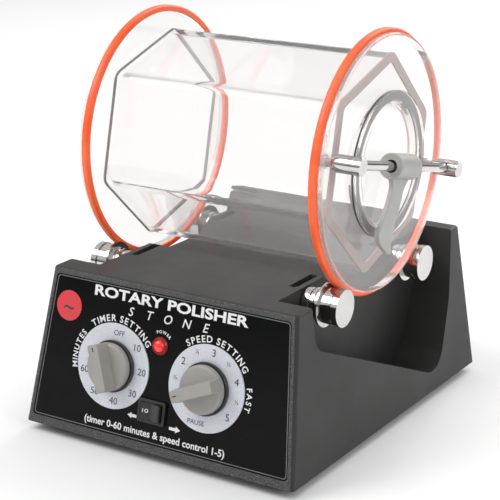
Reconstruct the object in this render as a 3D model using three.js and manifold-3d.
// A rotary rock tumbler: a clear six-sided barrel on two rubber-tyred end discs, turned by a
// pair of chrome roller shafts in a black moulded housing with a sloping control panel.
// Millimetres, +Z up, front towards -Y, door end of the barrel towards +X.
// The parts are placed in the housing's own frame, with Z = 0 at its bottom rim and Y = 0 under
// the barrel's axis, and the last lines move the whole to stand on Z = 0 about its middle.

import * as THREE from "three";
import { mergeVertices } from "three/addons/utils/BufferGeometryUtils.js";
import Module from "manifold-3d";

const wasm = await Module();
wasm.setup();

// ---------------------------------------------------------------- driving dimensions
const GAP = 0.3;                       // between pieces that would touch

const HALF_WIDTH = 105;                // housing, at its bottom rim
const HALF_DEPTH = 135;
const FRONT_TOP = 106.5;               // height of the top's front and rear edges
const REAR_TOP = 108.4;
const SIDE_LEAN = 0.1004;              // how far each wall leans in, per millimetre of height
const FRONT_LEAN = 0.1963;
const REAR_LEAN = 0.143;
const WALL = 3;
const FRONT_WALL = 6;
const BASE_THICK = 2.5;
const FOOT_HEIGHT = 6;

const WELL_INNER = 69.3;               // the end wells start this far from the middle
const VALLEY_FLOOR = 98.5;
const VALLEY_HALF = 37.8;

const BARREL_Z = 178.4;                // barrel axis
const BARREL_TURN = -0.2146;           // how far the barrel is turned as it stands, radians
const HEX_RADIUS = 73.8;               // over the tube's corners
const TUBE_WALL = 5;
const TUBE_END = 83.4;
const DISC_INNER = 85.2;
const DISC_OUTER = 93.2;
const TYRE_RADIUS = 88.7;
const TYRE_THICK = 2.7;
const TYRE_X0 = 85;
const TYRE_X1 = 91.4;
const DOOR_RADIUS = 42;

const ROLLER_Y = 58.4;                 // roller shafts, either side of the barrel
const ROLLER_Z = 96;
const ROLLER_RADIUS = 12;
const SHAFT_RADIUS = 4;
const BEARING_RADIUS = 8;
const BEARING_X = [60.2, 65.2];

const POST_R = 73;                     // posts of the closure, from the barrel axis
const POST_RADIUS = 5.8;
const STUD_RADIUS = 3;
const BAR_X = 104.2;                   // crossbar axis
const BAR_RADIUS = 3.2;
const HUB_RADIUS = 8.6;
const HUB_BORE = 4.3;
const CAM_OFFSET = 0.2;                // the cam hub's centre lies this much nearer the lid

const TIMER_U = -38;                   // control panel, from its middle and up its slope
const SPEED_U = 35;
const DIAL_V = 51;
const DIAL_RADIUS = 28.5;
const KNOB_RADIUS = 15.9;
const TIMER_TURN = 1.92;               // where each knob's pointer stands, from across the panel
const SPEED_TURN = 3.552;
const LAMP = [-3.2, 71];
const SWITCH = [-3.8, 27.5];

const PULLEY_X = [28, 36];
const PULLEY_RADIUS = 6.2;
const BELT_THICK = 1.3;
const MOTOR_Y = 28;
const MOTOR_Z = 46;

// ---------------------------------------------------------------- helpers
const frame = new THREE.Group();       // everything in the housing's frame
const barrel = new THREE.Group();      // the barrel's own frame: +Z to a corner, +Y along the crossbar
barrel.position.z = BARREL_Z;
barrel.rotation.x = BARREL_TURN;
frame.add(barrel);

const face = new THREE.Group();        // the front face: X across, Y up the slope, Z outwards
face.position.y = -HALF_DEPTH;
face.rotation.x = Math.atan2(1, FRONT_LEAN);
frame.add(face);

const rear = new THREE.Group();        // the rear face at inlet height: Y outwards
const INLET = { x: -62, z: 28 };
rear.position.set(INLET.x, HALF_DEPTH - REAR_LEAN * INLET.z, INLET.z);
rear.rotation.x = Math.atan(REAR_LEAN);
frame.add(rear);
for (const group of [barrel, face, rear]) group.updateMatrix();

const finishes = {
  shell: { color: 0x2f2f2e, roughness: 0.55 },
  gloss: { color: 0x101112, roughness: 0.15 },
  plate: { color: 0xd2d4dc, roughness: 0.4, metalness: 0.3 },
  knob: { color: 0xb4b0aa, roughness: 0.45 },
  clear: { color: 0xf0ecec, roughness: 0.05, transparent: true, opacity: 0.35 },
  seal: { color: 0xb09a96, roughness: 0.6 },
  dark: { color: 0x1c1c1d, roughness: 0.6 },
  tyre: { color: 0xff5a28, roughness: 0.5 },
  chrome: { color: 0xe6e6e6, roughness: 0.08, metalness: 1 },
  steel: { color: 0xb8b8ba, roughness: 0.35, metalness: 1 },
  lamp: { color: 0xd81818, roughness: 0.2, transparent: true, opacity: 0.8 },
  board: { color: 0x1f6a3c, roughness: 0.5 },
};
for (const name in finishes) finishes[name] = new THREE.MeshStandardMaterial(finishes[name]);

// A closed, outward-facing copy with shared corners merged; a profile may run either way round.
function closed(geometry) {
  geometry.deleteAttribute("normal");
  geometry.deleteAttribute("uv");
  const merged = mergeVertices(geometry, 1e-4);
  const at = merged.attributes.position;
  const index = merged.index.array;
  const point = (i) => new THREE.Vector3().fromBufferAttribute(at, i);
  const kept = [];
  let volume = 0;
  for (let i = 0; i < index.length; i += 3) {
    const [a, b, c] = index.slice(i, i + 3);
    if (a === b || b === c || c === a) continue;
    kept.push([a, b, c]);
    volume += point(a).dot(point(b).cross(point(c)));
  }
  merged.setIndex(kept.flatMap(([a, b, c]) => (volume < 0 ? [a, c, b] : [a, b, c])));
  return merged;
}

function solid(geometry) {
  const source = closed(geometry.clone());
  return new wasm.Manifold(new wasm.Mesh({
    numProp: 3,
    vertProperties: new Float32Array(source.attributes.position.array),
    triVerts: new Uint32Array(source.index.array),
  }));
}

function geometryOf(manifold) {
  const mesh = manifold.getMesh();
  const geometry = new THREE.BufferGeometry();
  geometry.setAttribute("position", new THREE.BufferAttribute(mesh.vertProperties, 3));
  geometry.setIndex(new THREE.BufferAttribute(mesh.triVerts, 1));
  return geometry;
}

function cut(geometry, ...cutters) {
  return geometryOf(cutters.reduce((whole, cutter) => whole.subtract(solid(cutter)), solid(geometry)));
}

function join(geometry, ...others) {
  return geometryOf(others.reduce((whole, other) => whole.add(solid(other)), solid(geometry)));
}

function add(group, name, geometry, finish) {
  const mesh = new THREE.Mesh(closed(geometry), finishes[finish]);
  mesh.name = name;
  group.add(mesh);
}

function box(x0, x1, y0, y1, z0, z1) {
  const geometry = new THREE.BoxGeometry(x1 - x0, y1 - y0, z1 - z0);
  return geometry.translate((x0 + x1) / 2, (y0 + y1) / 2, (z0 + z1) / 2);
}

// A rod along X, Y or Z between two ends.
function rod(axis, radius, from, to, a = 0, b = 0, sides = 24) {
  const geometry = new THREE.CylinderGeometry(radius, radius, to - from, sides);
  const middle = (from + to) / 2;
  if (axis === "x") return geometry.rotateZ(-Math.PI / 2).translate(middle, a, b);
  if (axis === "y") return geometry.translate(a, middle, b);
  return geometry.rotateX(Math.PI / 2).translate(a, b, middle);
}

// A turned piece from [radius, along] points, about X or Z.
function turned(axis, profile, segments = 48) {
  const points = profile.map(([radius, along]) => new THREE.Vector2(radius, along));
  const geometry = new THREE.LatheGeometry(points, segments);
  return axis === "x" ? geometry.rotateZ(-Math.PI / 2) : geometry.rotateX(Math.PI / 2);
}

// An outline through corner points, each [across, up, radius], with its corners rounded.
function rounded(corners) {
  const shape = new THREE.Shape();
  corners.forEach(([x, y, radius = 0], i) => {
    const corner = new THREE.Vector2(x, y);
    const before = new THREE.Vector2(...corners.at(i - 1)).sub(corner);
    const after = new THREE.Vector2(...corners[(i + 1) % corners.length]).sub(corner);
    const half = before.angleTo(after) / 2;
    const reach = radius ? radius / Math.tan(half) : 0;
    const start = corner.clone().add(before.setLength(reach));
    const end = corner.clone().add(after.setLength(reach));
    if (i === 0) shape.moveTo(start.x, start.y);
    else shape.lineTo(start.x, start.y);
    if (radius) shape.quadraticCurveTo(x, y, end.x, end.y);
  });
  return shape;
}

function rectangle(width, height, radius, x = 0, y = 0) {
  const [w, h] = [width / 2, height / 2];
  return rounded([[x - w, y - h, radius], [x + w, y - h, radius], [x + w, y + h, radius], [x - w, y + h, radius]]);
}

function slab(shape, z0, z1, curveSegments = 4) {
  const geometry = new THREE.ExtrudeGeometry(shape, { depth: z1 - z0, bevelEnabled: false, curveSegments });
  return geometry.translate(0, 0, z0);
}

// The (Y, Z) outline carried along X.
function alongX(shape, x0, x1, curveSegments = 4) {
  const turn = new THREE.Matrix4().makeBasis(
    new THREE.Vector3(0, 1, 0), new THREE.Vector3(0, 0, 1), new THREE.Vector3(1, 0, 0));
  return slab(shape, x0, x1, curveSegments).applyMatrix4(turn);
}

// The (Z, X) outline carried along Y.
function alongY(shape, y0, y1, curveSegments = 4) {
  const turn = new THREE.Matrix4().makeBasis(
    new THREE.Vector3(0, 0, 1), new THREE.Vector3(1, 0, 0), new THREE.Vector3(0, 1, 0));
  return slab(shape, y0, y1, curveSegments).applyMatrix4(turn);
}

// A block with the housing's leaning walls, each moved inwards by its own inset.
function leaningBlock(z0, frontTop, rearTop, side, front, back) {
  const corner = (sx, end, z) => [
    sx * (HALF_WIDTH - SIDE_LEAN * z - side),
    end < 0 ? -HALF_DEPTH + FRONT_LEAN * z + front : HALF_DEPTH - REAR_LEAN * z - back,
    z,
  ];
  const ring = (zf, zr) => [corner(-1, -1, zf), corner(1, -1, zf), corner(1, 1, zr), corner(-1, 1, zr)];
  const geometry = new THREE.BufferGeometry();
  const points = [...ring(z0, z0), ...ring(frontTop, rearTop)].flat();
  geometry.setAttribute("position", new THREE.BufferAttribute(new Float32Array(points), 3));
  const walls = [0, 1, 2, 3].flatMap((i) => {
    const j = (i + 1) % 4;
    return [i, j, j + 4, i, j + 4, i + 4];
  });
  geometry.setIndex([0, 2, 1, 0, 3, 2, 4, 5, 6, 4, 6, 7, ...walls]);
  return geometry;
}

// ---------------------------------------------------------------- housing
// The end well's outline: a short front upright, a long floor that falls to the rear, and a
// rear wall in two slopes. Grow moves the front and rear walls apart and the floor down.
function wellOutline(grow = 0) {
  return rounded([
    [-96.6 - grow, 130],
    [-95.7 - grow, 79.4 - grow, 15],
    [74.8 + grow, 8.4 - grow, 20],
    [97.7 + grow, 60.3, 30],
    [110 + grow, 130],
  ]);
}

function valleyOutline(grow = 0) {
  const slope = 24;
  return rounded([
    [-VALLEY_HALF - grow - slope * 0.5, FRONT_TOP + 8],
    [-VALLEY_HALF + 13 - grow, VALLEY_FLOOR - grow, 3],
    [VALLEY_HALF - 13 + grow, VALLEY_FLOOR - grow, 3],
    [VALLEY_HALF + grow + slope * 0.5, FRONT_TOP + 8],
  ]);
}

function inFace(geometry) {
  return geometry.applyMatrix4(face.matrix);
}

const PANEL_RIM = 4.2;
const PANEL_FLOOR = -2.6;
function panelOutline(inset) {
  const [low, high] = [5.7 + inset, 104.4 - inset];
  const half = (v) => HALF_WIDTH - PANEL_RIM - 0.0986 * v - inset;
  return rounded([[-half(low), low, 2.5], [half(low), low, 2.5], [half(high), high, 2.5], [-half(high), high, 2.5]]);
}

const ROCKER_HOLE = [19.2, 13.4];
function panelHoles(from, to) {
  return [
    rod("z", 5, from, to, TIMER_U, DIAL_V),
    rod("z", 5, from, to, SPEED_U, DIAL_V),
    rod("z", 5.1, from, to, ...LAMP),
    slab(rectangle(...ROCKER_HOLE, 0, ...SWITCH), from, to),
  ];
}

function housing() {
  const grown = [-1, 1].map((end) => {
    const [x0, x1] = [WELL_INNER - WALL, 120].map((x) => x * end).sort((a, b) => a - b);
    return alongX(wellOutline(WALL), x0, x1, 6);
  });
  const hollow = cut(
    leaningBlock(-1, FRONT_TOP - WALL, REAR_TOP - WALL, WALL, FRONT_WALL, WALL),
    ...grown, alongX(valleyOutline(WALL), -90, 90));
  const wells = [[-120, -WELL_INNER], [WELL_INNER, 120]].map(([x0, x1]) => alongX(wellOutline(), x0, x1, 6));
  let shell = cut(leaningBlock(0, FRONT_TOP, REAR_TOP, 0, 0, 0), hollow, ...wells,
    alongX(valleyOutline(), -100, 100),
    inFace(slab(panelOutline(0), PANEL_FLOOR, 6)),
    ...panelHoles(-14, 4).map(inFace));
  const [b0, b1] = BEARING_X;
  const openings = [];
  for (const end of [-1, 1]) {
    for (const side of [-1, 1]) {
      const [x0, x1] = [b0 - 1.4, WELL_INNER - WALL + 0.2].map((x) => x * end).sort((a, b) => a - b);
      const y = ROLLER_Y * side;
      const seat = [b0 - GAP, b1 + GAP].map((x) => x * end).sort((a, b) => a - b);
      const through = [b0 - 3, WELL_INNER + 1].map((x) => x * end).sort((a, b) => a - b);
      const long = [y - side * 8.5, y - side * 20].sort((a, b) => a - b);
      shell = join(shell, box(x0, x1, y - 13, y + 13, ROLLER_Z - 14, FRONT_TOP - 1));
      openings.push(
        rod("x", BEARING_RADIUS + GAP, ...seat, y, ROLLER_Z),
        box(...seat, y - BEARING_RADIUS - GAP, y + BEARING_RADIUS + GAP, ROLLER_Z, 120),
        box(...seat, ...long, FRONT_TOP - 4.6, 120),
        rod("x", SHAFT_RADIUS + 0.8, ...through, y, ROLLER_Z));
    }
  }
  const inletHole = box(-14.2, 14.2, -12, 6, -10.6, 10.6).applyMatrix4(rear.matrix);
  return cut(shell, ...openings, inletHole);
}

function basePlate() {
  const plate = leaningBlock(0, BASE_THICK, BASE_THICK, WALL + GAP, FRONT_WALL + GAP, WALL + GAP);
  const spacers = [[-36, -62], [36, -62], [-36, -18], [36, -18]].map(([x, y]) => rod("z", 3, 1, 7, x, y, 12));
  const vents = [-1, 0, 1].flatMap((i) => [-1, 1].map((end) => {
    return slab(rectangle(34, 4, 1.8, 46 * end, 88 + 9 * i), -1, 4, 3);
  }));
  return cut(join(plate, ...spacers), ...vents);
}

function foot() {
  const profile = [[0, -FOOT_HEIGHT], [6.4, -FOOT_HEIGHT], [7.2, -FOOT_HEIGHT + 1], [8, -GAP], [0, -GAP]];
  return turned("z", profile, 20);
}

const FEET = { front_left: [-90, -118], front_right: [90, -118], rear_left: [-90, 119], rear_right: [90, 119] };
add(frame, "housing_shell", housing(), "shell");
add(frame, "base_plate", basePlate(), "shell");
for (const [place, [x, y]] of Object.entries(FEET)) {
  add(frame, `foot_${place}`, foot().translate(x, y, 0), "dark");
}

// ---------------------------------------------------------------- control panel
const PANEL_FACE = -0.6;               // the panel lies this far inside the housing's rim
add(face, "front_panel",
  cut(slab(panelOutline(GAP), PANEL_FLOOR + GAP, PANEL_FACE), ...panelHoles(-6, 4)), "gloss");

function dialPlate(u) {
  const profile = [[5, PANEL_FACE + GAP], [DIAL_RADIUS, PANEL_FACE + GAP], [DIAL_RADIUS, 0.5], [5, 0.5], [5, PANEL_FACE + GAP]];
  return turned("z", profile, 36).translate(u, DIAL_V, 0);
}

// A flange, a round drum and a bar grip across it, on a blind bore for the spindle.
const KNOB_BACK = 0.8;
const KNOB_FLANGE = 17.3;
const KNOB_DRUM = 8.5;
const KNOB_TOP = 18.8;
const SPINDLE_TOP = 14;
function knob(u, turn) {
  const drum = turned("z", [
    [0, KNOB_BACK], [KNOB_FLANGE, KNOB_BACK], [KNOB_FLANGE, 3], [KNOB_RADIUS, 3.2], [KNOB_RADIUS, KNOB_DRUM - 1.5],
    [KNOB_RADIUS - 1.5, KNOB_DRUM], [0, KNOB_DRUM],
  ], 28);
  const grip = slab(rectangle(32, 9, 3), KNOB_DRUM - 2, KNOB_TOP);
  const body = cut(join(drum, grip), rod("z", 3 + GAP, -1, SPINDLE_TOP + GAP));
  return body.rotateZ(turn).translate(u, DIAL_V, 0);
}

for (const [name, u, turn] of [["timer", TIMER_U, TIMER_TURN], ["speed", SPEED_U, SPEED_TURN]]) {
  add(face, `${name}_dial_plate`, dialPlate(u), "plate");
  add(face, `${name}_knob`, knob(u, turn), "knob");
  add(face, `${name}_spindle`, rod("z", 3, -FRONT_WALL - 2, SPINDLE_TOP, u, DIAL_V, 12), "steel");
}
const BEHIND = -FRONT_WALL - GAP;
add(face, "timer_body", cut(
  slab(rectangle(34, 34, 3, TIMER_U, DIAL_V), BEHIND - 26, BEHIND),
  rod("z", 3 + GAP, BEHIND - 4, 2, TIMER_U, DIAL_V, 12)), "dark");
add(face, "speed_body", cut(
  rod("z", 9, BEHIND - 12, BEHIND, SPEED_U, DIAL_V, 20),
  rod("z", 3 + GAP, BEHIND - 4, 2, SPEED_U, DIAL_V, 12)), "steel");

const ON_PANEL = PANEL_FACE + GAP;
add(face, "lamp_bezel", turned("z", [
  [4.4, -9], [4.8, -9], [4.8, ON_PANEL], [6.1, ON_PANEL], [6.1, 0.6], [5.4, 1.6], [4.4, 1.6], [4.4, -9],
], 16).translate(...LAMP, 0), "chrome");
add(face, "lamp_lens", turned("z", [
  [0, -8], [4.1, -8], [4.1, 1.4], [3.4, 2.8], [2, 3.5], [0, 3.8],
], 16).translate(...LAMP, 0), "lamp");

const BEZEL = [21, 15.6];
const ROCKER = [16.6, 11.2];
const rockerWell = slab(rectangle(ROCKER[0] + 2 * GAP, ROCKER[1] + 2 * GAP, 0, ...SWITCH), -6.5, 4);
add(face, "rocker_body", cut(join(
  slab(rectangle(...BEZEL, 1.2, ...SWITCH), ON_PANEL, 1.6),
  slab(rectangle(ROCKER_HOLE[0] - 2 * GAP, ROCKER_HOLE[1] - 2 * GAP, 0, ...SWITCH), -21, 0.5)), rockerWell), "dark");

// The rocker's top has two flat halves that meet at a shallow ridge; it stands pressed to one side.
const ROCKER_TILT = 0.13;
const rockerSide = rounded([[-7.6, -4], [7.6, -4], [8.1, 3.2, 0.6], [0, 1.4], [-8.1, 3.2, 0.6]]);
const rockerTurn = new THREE.Matrix4().makeBasis(
  new THREE.Vector3(1, 0, 0), new THREE.Vector3(0, 0, 1), new THREE.Vector3(0, -1, 0));
const rocker = slab(rockerSide, -ROCKER[1] / 2, ROCKER[1] / 2).applyMatrix4(rockerTurn).rotateY(-ROCKER_TILT);
add(face, "rocker_button", rocker.translate(...SWITCH, 0), "dark");

// ---------------------------------------------------------------- rollers and their drive
// One end's roller: hub, thin guide flange, running surface, groove and rounded end cap.
function rollerProfile() {
  return [
    [SHAFT_RADIUS + GAP, WELL_INNER + 0.9], [10.5, WELL_INNER + 0.9], [10.5, 82], [14.6, 82.2], [14.6, 84],
    [ROLLER_RADIUS, 84.2], [ROLLER_RADIUS, 92.4], [11, 92.6], [11, 93.3], [12.4, 93.5], [12.4, 96.2],
    [11.6, 97], [0, 97], [0, 94.6], [SHAFT_RADIUS + GAP, 94.6], [SHAFT_RADIUS + GAP, WELL_INNER + 0.9],
  ];
}

function bearing() {
  const [x0, x1] = BEARING_X;
  const bore = SHAFT_RADIUS + GAP;
  return turned("x", [[bore, x0], [BEARING_RADIUS, x0], [BEARING_RADIUS, x1], [bore, x1], [bore, x0]], 16);
}

for (const [name, y] of [["idler", -ROLLER_Y], ["drive", ROLLER_Y]]) {
  add(frame, `${name}_shaft`, rod("x", SHAFT_RADIUS, -94.3, 94.3, y, ROLLER_Z, 16), "steel");
  for (const [side, sign] of [["left", -1], ["right", 1]]) {
    const turn = sign < 0 ? Math.PI : 0;
    add(frame, `${name}_roller_${side}`, turned("x", rollerProfile(), 20).rotateZ(turn).translate(0, y, ROLLER_Z), "chrome");
    add(frame, `${name}_bearing_${side}`, bearing().rotateZ(turn).translate(0, y, ROLLER_Z), "steel");
  }
}

function pulley(bore) {
  const [x0, x1] = PULLEY_X;
  const [flange, core] = [PULLEY_RADIUS + BELT_THICK, PULLEY_RADIUS];
  return turned("x", [
    [bore, x0], [flange, x0], [flange, x0 + 1], [core, x0 + 1.2], [core, x1 - 1.2], [flange, x1 - 1], [flange, x1],
    [bore, x1], [bore, x0],
  ], 16);
}
add(frame, "drive_pulley", pulley(SHAFT_RADIUS + GAP).translate(0, ROLLER_Y, ROLLER_Z), "steel");
add(frame, "motor_pulley", pulley(3 + GAP).translate(0, MOTOR_Y, MOTOR_Z), "steel");

// The belt's loop round two equal pulleys, grown by the given radius.
function loop(radius) {
  const run = new THREE.Vector2(ROLLER_Y - MOTOR_Y, ROLLER_Z - MOTOR_Z);
  const along = run.angle();
  const shape = new THREE.Shape();
  shape.absarc(ROLLER_Y, ROLLER_Z, radius, along - Math.PI / 2, along + Math.PI / 2, false);
  shape.absarc(MOTOR_Y, MOTOR_Z, radius, along + Math.PI / 2, along + 1.5 * Math.PI, false);
  return shape;
}
const belt = [PULLEY_X[0] + 1.6, PULLEY_X[1] - 1.6];
add(frame, "drive_belt", cut(
  alongX(loop(PULLEY_RADIUS + GAP + BELT_THICK), ...belt, 8),
  alongX(loop(PULLEY_RADIUS + GAP), belt[0] - 1, belt[1] + 1, 8)), "dark");

const MOTOR_FACE = 22;
add(frame, "motor_case", rod("x", 17.5, -46, -2.3, MOTOR_Y, MOTOR_Z, 28), "steel");
// The gearbox is a cup, closed by the motor's face, round the output gear on the shaft.
add(frame, "gearbox", cut(
  rod("x", 18.5, -2, MOTOR_FACE, MOTOR_Y, MOTOR_Z, 28),
  rod("x", 16.5, -3, MOTOR_FACE - 2, MOTOR_Y, MOTOR_Z, 28),
  rod("x", 3 + GAP, 8, MOTOR_FACE + 1, MOTOR_Y, MOTOR_Z, 12)), "steel");
add(frame, "motor_shaft", rod("x", 3, 1, 38, MOTOR_Y, MOTOR_Z, 12), "steel");
add(frame, "output_gear", turned("x", [
  [3 + GAP, 3], [15.4, 3], [15.4, 17], [3 + GAP, 17], [3 + GAP, 3]], 24).translate(0, MOTOR_Y, MOTOR_Z), "steel");
const BRACKET = [MOTOR_FACE + GAP, MOTOR_FACE + GAP + 2];
add(frame, "motor_bracket", cut(
  join(
    box(...BRACKET, MOTOR_Y - 24, MOTOR_Y + 24, BASE_THICK + GAP, MOTOR_Z + 24),
    box(BRACKET[0] - 16, BRACKET[1], MOTOR_Y - 24, MOTOR_Y + 24, BASE_THICK + GAP, BASE_THICK + GAP + 2)),
  rod("x", 7, 10, 30, MOTOR_Y, MOTOR_Z, 16)), "steel");

add(frame, "control_board", join(
  box(-42, 42, -68, -12, 7 + GAP, 9), box(-30, -8, -60, -40, 8.5, 24), box(10, 34, -34, -20, 8.5, 30)), "board");

add(rear, "power_inlet", cut(
  join(
    slab(rectangle(46, 22, 4), GAP, 2.8).rotateX(-Math.PI / 2),
    box(-13.6, 13.6, -22, 1, -10, 10)),
  box(-11, 11, -16, 6, -7.6, 7.6)), "dark");
add(rear, "inlet_pins", join(
  box(-9, 9, -16 + GAP, -14, -6, 0),
  ...[-7, 0, 7].map((x) => box(x - 1, x + 1, -15, -3, -5, -0.5))), "steel");

// ---------------------------------------------------------------- barrel
function hexagon(radius, corner) {
  return rounded([0, 1, 2, 3, 4, 5].map((i) => {
    const angle = i * Math.PI / 3;
    return [radius * Math.sin(angle), radius * Math.cos(angle), corner];
  }));
}

const WALL_IN = TUBE_WALL / Math.cos(Math.PI / 6);
function hexRing(outer, inner, x0, x1) {
  return cut(alongX(hexagon(outer, 9), x0, x1, 5), alongX(hexagon(inner, 5), x0 - 1, x1 + 1, 5));
}
add(barrel, "barrel_tube", hexRing(HEX_RADIUS, HEX_RADIUS - WALL_IN, -TUBE_END, TUBE_END), "clear");
const gasket = [TUBE_END + GAP, DISC_INNER - GAP];
add(barrel, "right_gasket", hexRing(HEX_RADIUS + 0.5, HEX_RADIUS - WALL_IN - 1, ...gasket), "seal");
add(barrel, "left_gasket", hexRing(HEX_RADIUS + 0.5, HEX_RADIUS - WALL_IN - 1, -gasket[1], -gasket[0]), "dark");

// The end disc carries the tyre on its rim, and an outer lip keeps the tyre on.
const RIM = TYRE_RADIUS - TYRE_THICK - GAP;
const LIP = TYRE_RADIUS - 1.1;
const discOutside = [[RIM, DISC_INNER], [RIM, TYRE_X1 + GAP], [LIP, TYRE_X1 + GAP], [LIP, DISC_OUTER - 0.6], [LIP - 0.6, DISC_OUTER]];
add(barrel, "left_disc", turned("x", [[0, DISC_INNER], ...discOutside, [0, DISC_OUTER]], 48).rotateZ(Math.PI), "clear");
const rightDisc = turned("x", [
  [DOOR_RADIUS, DISC_INNER], ...discOutside, [DOOR_RADIUS, DISC_OUTER], [DOOR_RADIUS, DISC_INNER],
], 48);
const studHoles = [-1, 1].map((end) => rod("x", STUD_RADIUS + GAP, 80, 100, POST_R * end, 0, 12));
add(barrel, "right_disc", cut(rightDisc, ...studHoles), "clear");

function tyre() {
  const [x0, x1] = [TYRE_X0, TYRE_X1];
  const inner = TYRE_RADIUS - TYRE_THICK;
  return turned("x", [
    [inner, x0], [TYRE_RADIUS - 1, x0], [TYRE_RADIUS, x0 + 1], [TYRE_RADIUS, x1 - 1], [TYRE_RADIUS - 1, x1],
    [inner, x1], [inner, x0],
  ], 48);
}
add(barrel, "left_tyre", tyre().rotateZ(Math.PI), "tyre");
add(barrel, "right_tyre", tyre(), "tyre");

// ---------------------------------------------------------------- closure
const POST_BASE = 95.2;
const POST_SPLIT = BAR_X + BAR_RADIUS - 0.8;
const POST_END = 113.7;
const STUD_END = 99.7;
for (const [name, end] of [["front", -1], ["rear", 1]]) {
  const y = POST_R * end;
  add(barrel, `${name}_post`, cut(
    join(rod("x", POST_RADIUS, POST_BASE, POST_SPLIT - GAP, y, 0, 24), rod("x", 4.6, DISC_OUTER + GAP, POST_BASE + 1, y, 0, 24)),
    rod("x", STUD_RADIUS + GAP, 90, STUD_END + GAP, y, 0, 12),
    rod("y", BAR_RADIUS + GAP, y - 9, y + 9, BAR_X, 0, 20),
    box(BAR_X, 120, y - 9, y + 9, -BAR_RADIUS - GAP, BAR_RADIUS + GAP)), "chrome");
  const head = DISC_INNER - 2.6;
  const screw = [
    [0, head], [4.6, head], [4.6, DISC_INNER - GAP], [STUD_RADIUS, DISC_INNER - GAP], [STUD_RADIUS, STUD_END], [0, STUD_END]];
  add(barrel, `${name}_post_screw`, turned("x", screw, 12).translate(0, y, 0), "steel");
  const cap = cut(
    rod("x", POST_RADIUS, POST_SPLIT, POST_END, y, 0, 24),
    rod("y", BAR_RADIUS + GAP, y - 9, y + 9, BAR_X, 0, 20));
  add(barrel, `${name}_post_cap`, cap, "chrome");
}

const LID_BACK = DISC_OUTER + 1.6;
const LID_FACE = 97.3;
const LID_PRESSED = BAR_X - CAM_OFFSET - HUB_RADIUS - GAP;   // the shallow dish that the cam presses on
add(barrel, "lid_seal", turned("x", [
  [DOOR_RADIUS + GAP, DISC_OUTER + GAP], [48.4, DISC_OUTER + GAP], [48.4, LID_BACK - GAP], [DOOR_RADIUS + GAP, LID_BACK - GAP],
  [DOOR_RADIUS + GAP, DISC_OUTER + GAP],
], 32), "dark");
add(barrel, "lid", turned("x", [
  [0, 88.5], [39.5, 88.5], [39.5, 86.5], [DOOR_RADIUS - 0.5, 86.5], [DOOR_RADIUS - 0.5, LID_BACK], [49, LID_BACK],
  [49, LID_FACE - 0.8], [48.2, LID_FACE], [41, LID_FACE], [39.5, LID_PRESSED], [0, LID_PRESSED],
], 32), "clear");
add(barrel, "crossbar", rod("y", BAR_RADIUS, 3 - POST_R - POST_RADIUS, POST_R + POST_RADIUS - 3, BAR_X, 0, 20), "chrome");

// The cam lever: a hub on the crossbar, slightly off centre, and a flat S-shaped finger plate below it.
const HUB_HALF = 15;
const PLATE_X = [102.4, 105.8];
function camLever() {
  const hub = rod("y", HUB_RADIUS, -HUB_HALF, HUB_HALF, BAR_X - CAM_OFFSET, 0, 28);
  const outline = new THREE.Shape();
  outline.moveTo(-HUB_HALF + 0.2, -5);
  outline.quadraticCurveTo(-HUB_HALF + 1, -8.6, -11.6, -10.6);
  outline.bezierCurveTo(-8.6, -14, -12, -21, -13.8, -25.2);
  outline.bezierCurveTo(-16, -30, -19.6, -37, -21.6, -41.5);
  outline.bezierCurveTo(-23, -47, -19, -52, -13.2, -54);
  outline.lineTo(-6, -57.4);
  outline.quadraticCurveTo(-1.4, -59, -1.2, -55.5);
  outline.bezierCurveTo(-1.4, -53.6, -2.8, -53, -2.6, -50);
  outline.bezierCurveTo(-2, -42, 0.4, -34, 2.4, -28.5);
  outline.bezierCurveTo(4.6, -21, 4.4, -17, 6.6, -13.2);
  outline.quadraticCurveTo(9, -9.6, 13.4, -5);
  outline.closePath();
  const plate = alongX(outline, ...PLATE_X, 5);
  return cut(join(hub, plate), rod("y", HUB_BORE, -30, 30, BAR_X, 0, 20));
}
add(barrel, "cam_lever", camLever(), "knob");

// ---------------------------------------------------------------- origin under the middle
frame.updateMatrixWorld(true);
const extent = new THREE.Box3().setFromObject(frame, true);
const middle = extent.getCenter(new THREE.Vector3());
frame.position.set(-middle.x, -middle.y, -extent.min.z);

const tumbler = new THREE.Group();
tumbler.add(frame);
export default tumbler;
